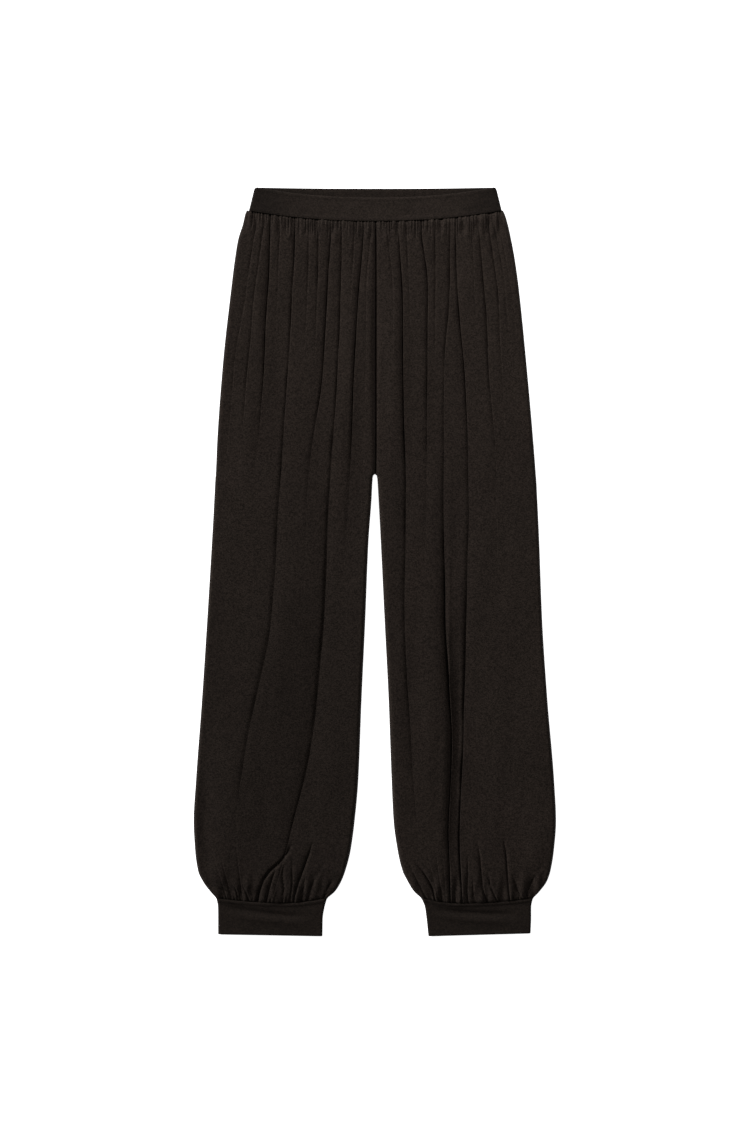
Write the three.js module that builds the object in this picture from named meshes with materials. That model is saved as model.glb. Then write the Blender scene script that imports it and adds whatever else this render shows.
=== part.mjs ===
// Pull-on harem pants, laid flat with the front side up: an elastic waistband, two full legs that are
// gathered into it, and two plain cuffs that gather the legs again at the ankle.
// Millimetres. X runs across the front to the wearer's left, Y runs up to the waist, Z is up off the surface
// that the pants lie on. The origin is on that surface, at the middle of the whole outline.
// "down" is always the distance below the waistband's top corners, and "out" the distance from the middle.
import * as THREE from "three";

// Driving sizes.
const LENGTH = 1000; // waistband top to cuff hem
const CLOTH = 1.2; // one layer of the leg's jersey
const BAND_CLOTH = 2.4; // the waistband: doubled jersey with the elastic in it
const CUFF_CLOTH = 2.0; // the cuffs: doubled jersey
const WAIST_SEAM_DOWN = 31.5; // at the side edges
const ANKLE_SEAM_DOWN = 949.5;
const BAND_LIFT = 8.4; // top of the waistband's front layer above the surface
const CUFF_LIFT = 6.4; // top of a cuff's front layer above the surface
const SEAM_GAP = 0.3; // between any two sewn pieces
const SIDE_SEAM_LIFT = 3; // height of the side seam and the inseam above the surface
const CROTCH_DOWN = 383;

// The waistband's outline. The front is cut lower than the back, so its edges dip further.
const WAIST = {
  topHalfWidth: 162,
  seamHalfWidth: 172.5,
  frontDip: 14,
  backDip: 2,
  dipPower: 2.2, // how flat the dip is in the middle
};

// The legs' outline. Above the crotch both legs meet at the middle, so their inner edges are at 0.
const OUTLINE = [
  { down: 31.5, rightOuter: 172.5, rightInner: 0, leftInner: 0, leftOuter: 172.5 },
  { down: 49, rightOuter: 177, rightInner: 0, leftInner: 0, leftOuter: 178 },
  { down: 69, rightOuter: 182.5, rightInner: 0, leftInner: 0, leftOuter: 182 },
  { down: 96, rightOuter: 187, rightInner: 0, leftInner: 0, leftOuter: 187 },
  { down: 136, rightOuter: 192, rightInner: 0, leftInner: 0, leftOuter: 192.5 },
  { down: 230, rightOuter: 202.5, rightInner: 0, leftInner: 0, leftOuter: 202 },
  { down: 337, rightOuter: 210.5, rightInner: 0, leftInner: 0, leftOuter: 211.5 },
  { down: 383, rightOuter: 212.5, rightInner: 0, leftInner: 0, leftOuter: 215 },
  { down: 388, rightOuter: 213, rightInner: 2, leftInner: 2.4, leftOuter: 215.5 },
  { down: 417, rightOuter: 214.5, rightInner: 4.4, leftInner: 5, leftOuter: 217 },
  { down: 471, rightOuter: 217.5, rightInner: 8.4, leftInner: 7.8, leftOuter: 219.5 },
  { down: 578, rightOuter: 224, rightInner: 12.8, leftInner: 13, leftOuter: 223.5 },
  { down: 685, rightOuter: 231, rightInner: 17.8, leftInner: 18.4, leftOuter: 230.5 },
  { down: 793, rightOuter: 239, rightInner: 22.2, leftInner: 22.4, leftOuter: 239.5 },
  { down: 846, rightOuter: 242, rightInner: 27, leftInner: 25, leftOuter: 242 },
  { down: 886, rightOuter: 240, rightInner: 32.5, leftInner: 30.5, leftOuter: 239 },
  { down: 913, rightOuter: 236, rightInner: 39.5, leftInner: 37, leftOuter: 234.5 },
  { down: 927, rightOuter: 229.5, rightInner: 45, leftInner: 44, leftOuter: 229.5 },
  { down: 940, rightOuter: 220, rightInner: 53, leftInner: 52, leftOuter: 220 },
  { down: 949.5, rightOuter: 211.5, rightInner: 64, leftInner: 62.5, leftOuter: 211 },
];

// How high the front layer stands off the surface between its folds.
const LOFT = [
  { down: 31.5, height: 7.6 },
  { down: 36, height: 10.2 },
  { down: 46, height: 12.4 },
  { down: 62, height: 13 },
  { down: 110, height: 12 },
  { down: 200, height: 10.6 },
  { down: 400, height: 9.2 },
  { down: 580, height: 8.8 },
  { down: 740, height: 9.8 },
  { down: 830, height: 12.6 },
  { down: 880, height: 14.6 },
  { down: 915, height: 14.4 },
  { down: 934, height: 12 },
  { down: 944, height: 8.6 },
  { down: 949.5, height: 5.8 },
];

// Where each fold's place and depth are given, from the waistband's seam to the cuff's.
const STATIONS = [50, 136, 250, 400, 580, 740, 860, 948];
const FOLD_HALF_WIDTH = [2.6, 3, 3.4, 4, 4.2, 4, 3.4, 2.6];

// The folds of each leg's front, from the middle outwards. A fold starts as a gather under the waistband
// and ends as a gather above the cuff, and between them it may run the whole leg or fade away.
// A spread of more than 1 makes a fold that much wider, as where the cloth sinks between two others.
const FOLDS = {
  right: [
    { out: [7, 12.5, 14, 19, 31, 41, 48, 84], depth: [1.5, 1.5, 0.8, 0, 0, 0, 0.4, 1.8] },
    { out: [17, 23, 30, 36, 50, 64, 84, 107], depth: [3, 5, 5, 2.2, 0.3, 0, 2, 3.5] },
    { out: [29, 33, 42, 50, 62, 78, 103, 117], depth: [2.5, 0.4, 0, 0, 0, 0, 0.5, 2.2] },
    { out: [46, 48.5, 52.5, 63.5, 72.5, 90, 118, 127], depth: [3, 3.5, 4, 3.4, 4.2, 2.8, 2.4, 2.2] },
    { out: [60, 66, 72, 92, 98, 108, 126, 144], depth: [3, 4.8, 3.5, 1, 0, 0, 0, 4] },
    { out: [77, 78, 84, 104, 116, 126, 135, 160], depth: [2.8, 1.8, 0, 0, 0, 0, 1, 4] },
    { out: [89, 91.5, 98, 114, 128, 142, 150, 169], depth: [1.8, 1.2, 0, 0, 0, 0, 0, 2] },
    { out: [108, 111.5, 118, 129, 143.5, 172, 176, 177], depth: [4.5, 3.5, 1.6, 2.8, 3, 1, 0, 1.5] },
    { out: [128, 131, 138, 152, 168, 189, 192, 185], depth: [2.2, 0.6, 0, 0, 0, 0, 0, 2.2] },
    { out: [141, 145, 151.5, 170, 186, 203, 207, 192], depth: [3.8, 4.8, 3.2, 0, 0, 0, 0, 1.2] },
    { out: [150, 161, 172, 188, 202, 214, 220, 199], depth: [2, 2.5, 1.8, 0, 0, 0, 0, 1.2] },
    { out: [160, 173, 190, 202, 213, 225, 232, 205], depth: [2, 1, 0.8, 0, 0, 0, 0.4, 2.5] },
  ],
  left: [
    { out: [15.5, 22, 23, 26, 28, 34, 40, 69], depth: [1.8, 1, 0, 0, 0, 0, 0.5, 2.2] },
    { out: [30.5, 34.5, 36, 39, 37, 45, 52, 78], depth: [2.5, 4.8, 6, 4.5, 2.6, 0.8, 0.8, 2.8] },
    { out: [41, 44, 46, 51, 52, 60, 64, 83.5], depth: [2.2, 0.6, 0, 0, 0, 0, 0, 1] },
    { out: [60, 67, 66.5, 67, 62, 73, 77, 89], depth: [4.2, 3.5, 4.2, 2.2, 0.8, 0, 0, 1.5] },
    { out: [78.5, 79, 79, 79, 77, 87, 87, 94], depth: [2.6, 1.5, 0, 0, 0, 0, 0, 0.8] },
    { out: [99, 97.5, 91, 90.5, 92, 100, 97.5, 99.5], depth: [2.4, 3.2, 1.4, 2.4, 4.5, 5.5, 5, 4.5] },
    { out: [102, 103, 104, 107, 106, 108, 104, 107], depth: [0, 0, 0, 0, 1, 2, 2, 0.5], spread: 2.2 },
    { out: [106, 108, 117, 124, 120, 116, 110.5, 115], depth: [3, 3.8, 2.6, 1.5, 2.6, 3.2, 4.6, 3.5] },
    { out: [128, 131, 136, 144, 144, 138, 122, 124], depth: [1.5, 0.5, 0, 0, 0, 0, 1.5, 3.2] },
    { out: [137, 143, 151, 160, 161, 156, 138, 146], depth: [1.8, 3, 2.8, 0.3, 0, 0, 1.2, 2.6] },
    { out: [150, 161, 168, 174, 176, 172, 153, 162], depth: [3.2, 3.4, 1, 0, 0, 0, 0, 1.8] },
    { out: [158, 172, 180, 188, 192, 190, 168, 178], depth: [1.5, 0.8, 0, 0, 0, 0, 0.6, 2.8] },
    { out: [164, 180, 191, 200, 207, 210, 200, 192], depth: [1, 0.4, 0, 0, 0, 0, 0.3, 1.8] },
    { out: [169, 187, 198, 208, 215, 224, 223, 202], depth: [0.8, 0, 0, 0, 0, 0, 0.5, 1.8] },
  ],
};
const BACK_FOLD_SHARE = 0.34; // the back's folds are pressed against the surface, so they are shallow
const CENTRE_SEAM = { frontDepth: 4.6, backDepth: 1.2, halfWidth: 3.2 };
const FOLD_REACH = 2.4; // where a fold has run out, in half widths from its line

const CUFF_STRAIGHT_END = 0.04; // share of a cuff's width, at each end, where its seam doesn't dip

// The cuffs, from the seam with the leg to the hem. Their hems are a little out of square.
const CUFFS = {
  right: {
    dip: 6,
    dipMiddle: 0.62, // share of the way from the outer to the inner edge
    rows: [
      { outer: 211.5, inner: 64, outerDown: 949.5, innerDown: 949.5 },
      { outer: 209.6, inner: 67.6, outerDown: 961, innerDown: 963 },
      { outer: 209.4, inner: 69.6, outerDown: 975, innerDown: 977 },
      { outer: 209.4, inner: 70, outerDown: 997.5, innerDown: 1000 },
    ],
  },
  left: {
    dip: 6.5,
    dipMiddle: 0.66,
    rows: [
      { outer: 211, inner: 62.5, outerDown: 949.5, innerDown: 949.5 },
      { outer: 208.8, inner: 67, outerDown: 961, innerDown: 961.5 },
      { outer: 208.8, inner: 69, outerDown: 975, innerDown: 976 },
      { outer: 208, inner: 71.5, outerDown: 996.2, innerDown: 1000 },
    ],
  },
};

// Where the panels have a row of points, and where each gap between two folds has its columns.
const FRONT_ROWS = [
  WAIST_SEAM_DOWN, 36, 44, 60, 82, 112, 150, 200, 260, 330, 374, 392, 430, 500, 580, 660, 730, 790, 835, 868,
  895, 916, 930, 939, 945, ANKLE_SEAM_DOWN,
];
const BACK_ROWS = [
  WAIST_SEAM_DOWN, 44, 66, 100, 150, 220, 300, 374, 392, 440, 530, 640, 740, 820, 868, 900, 922, 938, 945,
  ANKLE_SEAM_DOWN,
];
const FRONT_GAP_COLUMNS = [0, 0.3, 0.7];
const BACK_GAP_COLUMNS = [0, 0.5];
const OUTER_GAP_COLUMNS = [0.35, 0.7, 0.9]; // the last gap, out to the side seam
const INNER_GAP_COLUMNS = [0, 0.15, 0.4, 0.7]; // the first gap, from the inner edge
const FRONT_ROUNDING = 13; // how far in from an edge the front layer reaches its full height
const BACK_ROUNDING = 6;

const SIGN = { right: -1, left: 1 };
const mix = THREE.MathUtils.lerp;
const { clamp, smoothstep } = THREE.MathUtils;

// Reads a smooth line through values at places, which never swings past them.
function smoothAt(places, values, at) {
  const last = places.length - 1;
  const place = clamp(at, places[0], places[last]);
  let i = 0;
  while (i < last - 1 && places[i + 1] < place) i += 1;
  const secant = (k) => (values[k + 1] - values[k]) / (places[k + 1] - places[k]);
  const slope = (k) => {
    if (k === 0) return secant(0);
    if (k === last) return secant(last - 1);
    const before = secant(k - 1);
    const after = secant(k);
    return before * after <= 0 ? 0 : (2 * before * after) / (before + after);
  };
  const step = places[i + 1] - places[i];
  const t = (place - places[i]) / step;
  const rise = values[i + 1] - values[i];
  const start = slope(i) * step;
  const end = slope(i + 1) * step;
  return values[i] + t * (start + t * (3 * rise - 2 * start - end + t * (start + end - 2 * rise)));
}

const readColumn = (table, column, down) =>
  smoothAt(table.map((row) => row.down), table.map((row) => row[column]), down);

// The side edges of one leg, with half a seam's gap kept at the middle.
function edgesAt(side, down) {
  const inner = readColumn(OUTLINE, `${side}Inner`, down);
  return { inner: Math.max(inner, SEAM_GAP / 2), outer: readColumn(OUTLINE, `${side}Outer`, down) };
}

// 0 at an edge and 1 once the cloth has rounded over it.
const quarterRound = (distance, reach) => Math.sqrt(1 - (1 - clamp(distance / reach, 0, 1)) ** 2);

// A narrow crease between two round ridges: 1 along its line and 0 where it has run out.
const foldShape = (distance, halfWidth) =>
  (1 - clamp(Math.abs(distance) / (FOLD_REACH * halfWidth), 0, 1)) ** 2;

// How deep the folds of one leg are at a point, in millimetres.
function foldDepth(folds, out, down) {
  const halfWidth = smoothAt(STATIONS, FOLD_HALF_WIDTH, down);
  return folds.reduce((sum, fold) => {
    const depth = smoothAt(STATIONS, fold.depth, down);
    const distance = out - smoothAt(STATIONS, fold.out, down);
    return sum + depth * foldShape(distance, halfWidth * (fold.spread ?? 1));
  }, 0);
}

// 0 where the two legs meet at the middle seam, 1 where the inner edge is an inseam.
const inseamShare = (down) => smoothstep(down, CROTCH_DOWN - 25, CROTCH_DOWN + 30);

// Height of the front layer's outer surface.
function frontHeight(side, out, down) {
  const { inner, outer } = edgesAt(side, down);
  const loft = readColumn(LOFT, "height", down);
  const seam = SIDE_SEAM_LIFT + SEAM_GAP / 2;
  const share = inseamShare(down);
  const fade = clamp((loft - 5) / 4, 0, 1);
  const innerEdge = mix(loft - CENTRE_SEAM.frontDepth * fade, seam, share);
  const innerRise = mix(
    1 - foldShape(out - inner, CENTRE_SEAM.halfWidth),
    quarterRound(out - inner, FRONT_ROUNDING),
    share,
  );
  const outerRise = quarterRound(outer - out, FRONT_ROUNDING);
  const nearOuter = mix(seam, loft, outerRise);
  const nearInner = mix(innerEdge, loft, innerRise);
  const folded = foldDepth(FOLDS[side], out, down) * outerRise * innerRise;
  return Math.min(nearOuter, nearInner) - folded * fade;
}

// Height of the back layer's underside, which rests on the surface between its folds.
// The back has the other leg's folds, because it is seen from the other side.
function backHeight(side, out, down) {
  const { inner, outer } = edgesAt(side, down);
  const seam = SIDE_SEAM_LIFT - SEAM_GAP / 2;
  const share = inseamShare(down);
  const other = side === "right" ? "left" : "right";
  const outerRise = quarterRound(outer - out, BACK_ROUNDING);
  const innerRise = mix(
    1 - foldShape(out - inner, CENTRE_SEAM.halfWidth),
    quarterRound(out - inner, BACK_ROUNDING),
    share,
  );
  const edges = seam * (1 - outerRise) + mix(CENTRE_SEAM.backDepth, seam, share) * (1 - innerRise);
  return edges + BACK_FOLD_SHARE * foldDepth(FOLDS[other], out, down) * outerRise * innerRise;
}

const waistDip = (x) => 1 - Math.min(Math.abs(x / WAIST.seamHalfWidth), 1) ** WAIST.dipPower;

// How far a cuff's front seam dips at a share of the way from its outer to its inner edge.
function cuffDip(side, share) {
  const { dip, dipMiddle } = CUFFS[side];
  const reach = (share < dipMiddle ? dipMiddle : 1 - dipMiddle) - CUFF_STRAIGHT_END;
  return dip * (1 - clamp(Math.abs(share - dipMiddle) / reach, 0, 1) ** 2);
}

// A panel's rows end on the curved seams: this moves a point down with the seam that it is near.
function seamShift(side, out, down, isFront) {
  const { inner, outer } = edgesAt(side, down);
  const waist = (isFront ? WAIST.frontDip : WAIST.backDip) * waistDip(out);
  const nearWaist = 1 - smoothstep(down, WAIST_SEAM_DOWN, 130);
  const nearCuff = smoothstep(down, 890, ANKLE_SEAM_DOWN);
  const ankle = isFront ? cuffDip(side, (outer - out) / (outer - inner)) : 0;
  return waist * nearWaist + ankle * nearCuff;
}

// The distances from the middle of one row's columns: the edges, the folds and points between them.
function columnsAt(side, folds, gapColumns, down) {
  const { inner, outer } = edgesAt(side, down);
  const lines = folds.map((fold) => smoothAt(STATIONS, fold.out, down));
  const columns = INNER_GAP_COLUMNS.map((share) => mix(inner, lines[0], share));
  lines.slice(1).forEach((line, k) => columns.push(...gapColumns.map((share) => mix(lines[k], line, share))));
  const last = lines[lines.length - 1];
  return [...columns, last, ...OUTER_GAP_COLUMNS.map((share) => mix(last, outer, share)), outer];
}

// A wall of cloth between two grids of points: the side that is seen and the side behind it.
// Rows may close on themselves, as round a waistband.
function clothWall(seen, behind, isLoop) {
  const rows = seen.length;
  const columns = seen[0].length;
  const points = [...seen.flat(), ...behind.flat()];
  const index = [];
  const seenAt = (i, j) => i * columns + (j % columns);
  const behindAt = (i, j) => rows * columns + seenAt(i, j);
  const quad = (a, b, c, d) => index.push(a, b, c, a, c, d);
  const steps = isLoop ? columns : columns - 1;
  for (let i = 0; i < rows - 1; i += 1) {
    for (let j = 0; j < steps; j += 1) {
      quad(seenAt(i, j), seenAt(i + 1, j), seenAt(i + 1, j + 1), seenAt(i, j + 1));
      quad(behindAt(i, j), behindAt(i, j + 1), behindAt(i + 1, j + 1), behindAt(i + 1, j));
    }
    if (!isLoop) {
      quad(seenAt(i, 0), behindAt(i, 0), behindAt(i + 1, 0), seenAt(i + 1, 0));
      quad(seenAt(i, steps), seenAt(i + 1, steps), behindAt(i + 1, steps), behindAt(i, steps));
    }
  }
  for (let j = 0; j < steps; j += 1) {
    quad(seenAt(0, j), seenAt(0, j + 1), behindAt(0, j + 1), behindAt(0, j));
    quad(seenAt(rows - 1, j), behindAt(rows - 1, j), behindAt(rows - 1, j + 1), seenAt(rows - 1, j + 1));
  }
  const geometry = new THREE.BufferGeometry();
  geometry.setAttribute("position", new THREE.Float32BufferAttribute(points.flatMap((p) => p.toArray()), 3));
  geometry.setIndex(index);
  return geometry;
}

// The direction that faces out of a grid of points at one of them.
function facing(grid, i, j) {
  const across = grid[i][Math.min(j + 1, grid[i].length - 1)].clone().sub(grid[i][Math.max(j - 1, 0)]);
  const along = grid[Math.min(i + 1, grid.length - 1)][j].clone().sub(grid[Math.max(i - 1, 0)][j]);
  return along.cross(across);
}

// One leg panel, front or back, from its seam with the waistband to its seam with the cuff.
function legPanel(side, isFront) {
  const folds = isFront ? FOLDS[side] : FOLDS[side === "right" ? "left" : "right"];
  const gapColumns = isFront ? FRONT_GAP_COLUMNS : BACK_GAP_COLUMNS;
  const height = isFront ? frontHeight : backHeight;
  const rows = isFront ? FRONT_ROWS : BACK_ROWS;
  const up = isFront ? 1 : -1;
  const sign = SIGN[side];
  const seen = rows.map((down, i) =>
    columnsAt(side, folds, gapColumns, down).map((out) => {
      const gap = i === 0 ? SEAM_GAP / 2 : i === rows.length - 1 ? -SEAM_GAP / 2 : 0;
      const below = down + gap + seamShift(side, out, down, isFront);
      return new THREE.Vector3(sign * out, LENGTH / 2 - below, height(side, out, down));
    }),
  );
  const behind = seen.map((row, i) =>
    row.map((point, j) => {
      const normal = facing(seen, i, j);
      if (normal.z * up < 0) normal.negate();
      if (i === 0 || i === rows.length - 1) normal.y = 0;
      if (j === row.length - 1) normal.set(sign, 0, 0);
      if (j === 0) {
        const share = inseamShare(rows[i]);
        normal.set(-sign * share, 0, up * (1 - share) ** 2);
      }
      return point.clone().addScaledVector(normal.normalize(), -CLOTH);
    }),
  );
  const outward = sign * up > 0;
  const flip = (grid) => grid.map((row) => [...row].reverse());
  return outward ? clothWall(seen, behind, false) : clothWall(flip(seen), flip(behind), false);
}

// A closed loop of cloth laid flat, such as a cuff. Each of its levels has a left and a right end, and the loop
// turns over at both. A level's y is read from the place across it.
const TURN_STEPS = 4;
const FLAT_STEPS = 22;
function flattenedLoop(levels, lift, cloth) {
  const level = ({ left, right, frontY, backY }) => {
    const radius = lift / 2;
    const middle = (left + right) / 2;
    const halfFlat = (right - left) / 2 - radius;
    const around = [];
    const add = (x, z, normalX, normalZ, y) =>
      around.push({ seen: [x, y, z], behind: [x - normalX * cloth, y, z - normalZ * cloth] });
    const turn = (centre, from) => {
      for (let k = 1; k < TURN_STEPS; k += 1) {
        const angle = from - (Math.PI * k) / TURN_STEPS;
        const x = centre + radius * Math.cos(angle);
        const share = (x - left) / (right - left);
        const y = Math.sin(angle) > 0 ? frontY(share) : backY(share);
        add(x, radius + radius * Math.sin(angle), Math.cos(angle), Math.sin(angle), y);
      }
    };
    for (let k = 0; k <= FLAT_STEPS; k += 1) {
      const x = middle + halfFlat * ((2 * k) / FLAT_STEPS - 1);
      add(x, lift, 0, 1, frontY((x - left) / (right - left)));
    }
    turn(middle + halfFlat, Math.PI / 2);
    for (let k = 0; k <= FLAT_STEPS; k += 1) {
      const x = middle + halfFlat * (1 - (2 * k) / FLAT_STEPS);
      add(x, 0, 0, -1, backY((x - left) / (right - left)));
    }
    turn(middle - halfFlat, -Math.PI / 2);
    return around;
  };
  const made = levels.map(level);
  const grid = (name) => made.map((around) => around.map((p) => new THREE.Vector3(...p[name])));
  return clothWall(grid("seen"), grid("behind"), true);
}

// The waistband, from its top fold to its seam with the legs.
function waistband() {
  const shares = [0, 0.5, 1];
  const levels = shares.map((share) => {
    const half = mix(WAIST.topHalfWidth, WAIST.seamHalfWidth, share);
    const down = share * (WAIST_SEAM_DOWN - SEAM_GAP / 2);
    const dipAt = (across) => waistDip((2 * across - 1) * WAIST.seamHalfWidth);
    return {
      left: -half,
      right: half,
      frontY: (across) => LENGTH / 2 - down - WAIST.frontDip * dipAt(across),
      backY: (across) => LENGTH / 2 - down - WAIST.backDip * dipAt(across),
    };
  });
  return flattenedLoop(levels, BAND_LIFT, BAND_CLOTH);
}

// One cuff, from its seam with the leg to its hem.
function cuff(side) {
  const sign = SIGN[side];
  const { rows } = CUFFS[side];
  const levels = rows.map((row, i) => {
    const ends = [sign * row.outer, sign * row.inner].sort((a, b) => a - b);
    const outerShare = (across) => (sign > 0 ? 1 - across : across);
    const dipFade = 1 - i / (rows.length - 1);
    const gap = i === 0 ? SEAM_GAP / 2 : 0;
    const straight = (across) => mix(row.outerDown, row.innerDown, outerShare(across)) + gap;
    return {
      left: ends[0],
      right: ends[1],
      frontY: (across) => LENGTH / 2 - straight(across) - dipFade * cuffDip(side, outerShare(across)),
      backY: (across) => LENGTH / 2 - straight(across),
    };
  });
  return flattenedLoop(levels, CUFF_LIFT, CUFF_CLOTH);
}

const jersey = new THREE.MeshStandardMaterial({ color: 0x211c19, roughness: 0.92, metalness: 0 });
const bandJersey = new THREE.MeshStandardMaterial({ color: 0x26211d, roughness: 0.9, metalness: 0 });
const cuffJersey = new THREE.MeshStandardMaterial({ color: 0x1b1714, roughness: 0.9, metalness: 0 });

const pants = new THREE.Group();
function addPiece(name, geometry, material) {
  const mesh = new THREE.Mesh(geometry, material);
  mesh.name = name;
  pants.add(mesh);
}

for (const side of ["right", "left"]) {
  addPiece(`front_leg_${side}`, legPanel(side, true), jersey);
  addPiece(`back_leg_${side}`, legPanel(side, false), jersey);
  addPiece(`cuff_${side}`, cuff(side), cuffJersey);
}
addPiece("waistband", waistband(), bandJersey);

// The origin is at the middle of the whole outline, on the surface.
const outline = new THREE.Box3().setFromObject(pants);
const middle = outline.getCenter(new THREE.Vector3());
pants.children.forEach((mesh) => mesh.geometry.translate(-middle.x, -middle.y, -outline.min.z));

export default pants;
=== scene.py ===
# Pull-on harem pants in dark brown jersey, laid flat with the front side up.
# Lengths in the tables are millimetres: "down" from the waistband's top corners, "out" from the middle.
import math

import bmesh
import bpy
import numpy as np
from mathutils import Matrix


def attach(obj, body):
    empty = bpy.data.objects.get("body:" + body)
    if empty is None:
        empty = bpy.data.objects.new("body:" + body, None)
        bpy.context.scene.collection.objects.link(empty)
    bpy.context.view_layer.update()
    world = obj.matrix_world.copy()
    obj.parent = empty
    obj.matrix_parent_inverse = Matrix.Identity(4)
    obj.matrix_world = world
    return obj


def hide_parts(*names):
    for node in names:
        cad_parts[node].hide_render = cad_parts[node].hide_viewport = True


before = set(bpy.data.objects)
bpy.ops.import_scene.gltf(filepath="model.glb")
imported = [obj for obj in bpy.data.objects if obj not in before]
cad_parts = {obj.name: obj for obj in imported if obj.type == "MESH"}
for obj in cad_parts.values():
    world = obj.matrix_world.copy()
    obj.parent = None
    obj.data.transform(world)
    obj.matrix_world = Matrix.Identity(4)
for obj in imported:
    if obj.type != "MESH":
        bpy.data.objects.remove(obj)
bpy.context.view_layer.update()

MM = 0.001
LENGTH = 1000.0
CLOTH = 1.2
BAND_CLOTH = 2.4
CUFF_CLOTH = 2.0
WAIST_SEAM_DOWN = 31.5
ANKLE_SEAM_DOWN = 949.5
BAND_LIFT = 8.4
CUFF_LIFT = 6.4
CLOSED_SEAM = -0.04  # the two legs are pressed together at the middle seam
SIDE_SEAM_LIFT = 3.0
SEAM_SPLIT = 0.05  # the front's edge lies this much above the side seam, and the back's below it
SEAM_TUCK = 1.0  # the legs' raw edges go in under the waistband and the cuffs
SEAM_EASE = 0.1  # the waistband and the cuffs stop this much short of their seams
CROTCH_DOWN = 383.0
CROTCH_ROWS = (376, 382.9, 384.6, 388, 396)  # rows of points that catch the round end of the gap
INSEAM_SPAN = (CROTCH_DOWN - 25, CROTCH_DOWN + 30)  # here the middle seam turns into the two inseams

WAIST_SEAM_HALF = 172.5
BAND_TOP_HALF = 161.2
BAND_SEAM_HALF = 168.9
BAND_SHIFT = 0.7
BAND_CORNER = 3.0  # height of the waistband's rounded top corners
BAND_CORNER_IN = 2.0  # how far in they come
BAND_BACK_RISE = 2.2  # the back of the waistband lifts towards its top edge
BAND_BACK_RISE_END = 15.0
FRONT_DIP = 14.0
BACK_DIP = 1.6
DIP_POWER = 2.2
WAIST_DIP_END = 130.0
CUFF_DIP_START = 890.0

# down, right leg's outer and inner edge, left leg's inner and outer edge
OUTLINE = np.array([
    [31.5, 171.2, 0, 0, 171.2],
    [34.5, 172.8, 0, 0, 173],
    [49, 176.2, 0, 0, 177.6],
    [69, 182.5, 0, 0, 182],
    [96, 187, 0, 0, 187],
    [136, 192, 0, 0, 192.5],
    [230, 202.5, 0, 0, 202],
    [337, 210.5, 0, 0, 211.5],
    [383, 212.5, 0, 0, 215],
    [384.6, 212.6, 2.2, 2.5, 215.1],
    [388, 213, 2.9, 3.2, 215.5],
    [417, 214.5, 4.4, 5, 217],
    [471, 217.5, 8.4, 7.8, 219.5],
    [578, 224, 12.8, 13, 223.5],
    [685, 231, 17.8, 18.4, 230.5],
    [793, 239, 22.2, 22.4, 239.5],
    [846, 242, 27, 25, 242],
    [886, 240, 32.5, 30.5, 239],
    [913, 236, 39.5, 37, 234.5],
    [927, 229.5, 45, 44, 229.5],
    [940, 220, 53, 52, 220],
    [949.5, 211.5, 64, 62.5, 211],
])
EDGE_COLUMN = {"right": (1, 2), "left": (4, 3)}

# down, height of the front layer between its folds
LOFT = np.array([
    [31.5, 6.8],
    [32.4, 8.6],
    [34.5, 10.8],
    [40, 12.4],
    [62, 13],
    [110, 12],
    [200, 11],
    [400, 11],
    [580, 12.6],
    [740, 13.4],
    [830, 14],
    [880, 14.6],
    [905, 14.4],
    [925, 13.2],
    [938, 11.4],
    [944, 10.2],
    [947.4, 9],
    [948.9, 7.2],
    [949.5, 4.8],
])

# Places down the leg. Each of the next tables has a value for each of them.
STATIONS = np.array([50, 136, 250, 400, 580, 740, 860, 948])
# A fold is a narrow cleft where two rolls of cloth meet: the cleft's half width, the part of it that its
# right wall takes, the width of the flank on its left and on its right, and each form's share of the depth.
CLEFT_HALF = np.array([1.2, 1.6, 2.2, 3.0, 3.6, 3.2, 2.1, 1.5])
RIGHT_WALL = np.array([0.8, 0.55, 0.12, 0.02, 0.02, 0.02, 0.025, 0.6])
LEFT_FLANK = np.array([7, 11, 15, 21, 25, 16, 10, 7])
RIGHT_FLANK = np.array([5, 8, 12, 20, 26, 28, 20, 6])
CLEFT_SHARE = np.array([0.55, 0.62, 0.64, 0.54, 0.56, 0.6, 0.66, 0.65])
LEFT_SHARE = np.array([0.3, 0.34, 0.34, 0.36, 0.36, 0.36, 0.36, 0.3])
RIGHT_SHARE = np.array([0.2, 0.22, 0.18, 0.04, 0.0, 0.0, 0.02, 0.2])
# Below the thigh the right roll stands a little proud of its fold: that rise's share of the depth, and reach.
CROWN_SHARE = np.array([0, 0, 0.05, 0.18, 0.2, 0.2, 0.16, 0])
CROWN_REACH = 11.0
# How far right of its place in the table of folds a fold's line runs.
FOLD_MIDDLE = np.array([1.4, 1.6, 1.8, 2.4, 3.2, 3.8, 3.0, 1.2])
WALL_STEP = 0.2  # each fold's line has a second column of points this far to its right, for its steep wall
FLANK_POWER = 1.7
CROWN_POWER = 1.8
LONG_FALL_POWER = 1.25
# The unevenness of hand-laid folds, across and in depth: its size, longest and shortest wave.
PLACE_SWAY = (0.4, 230, 85)
DEPTH_SWAY = (0.2, 120, 30)

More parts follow.
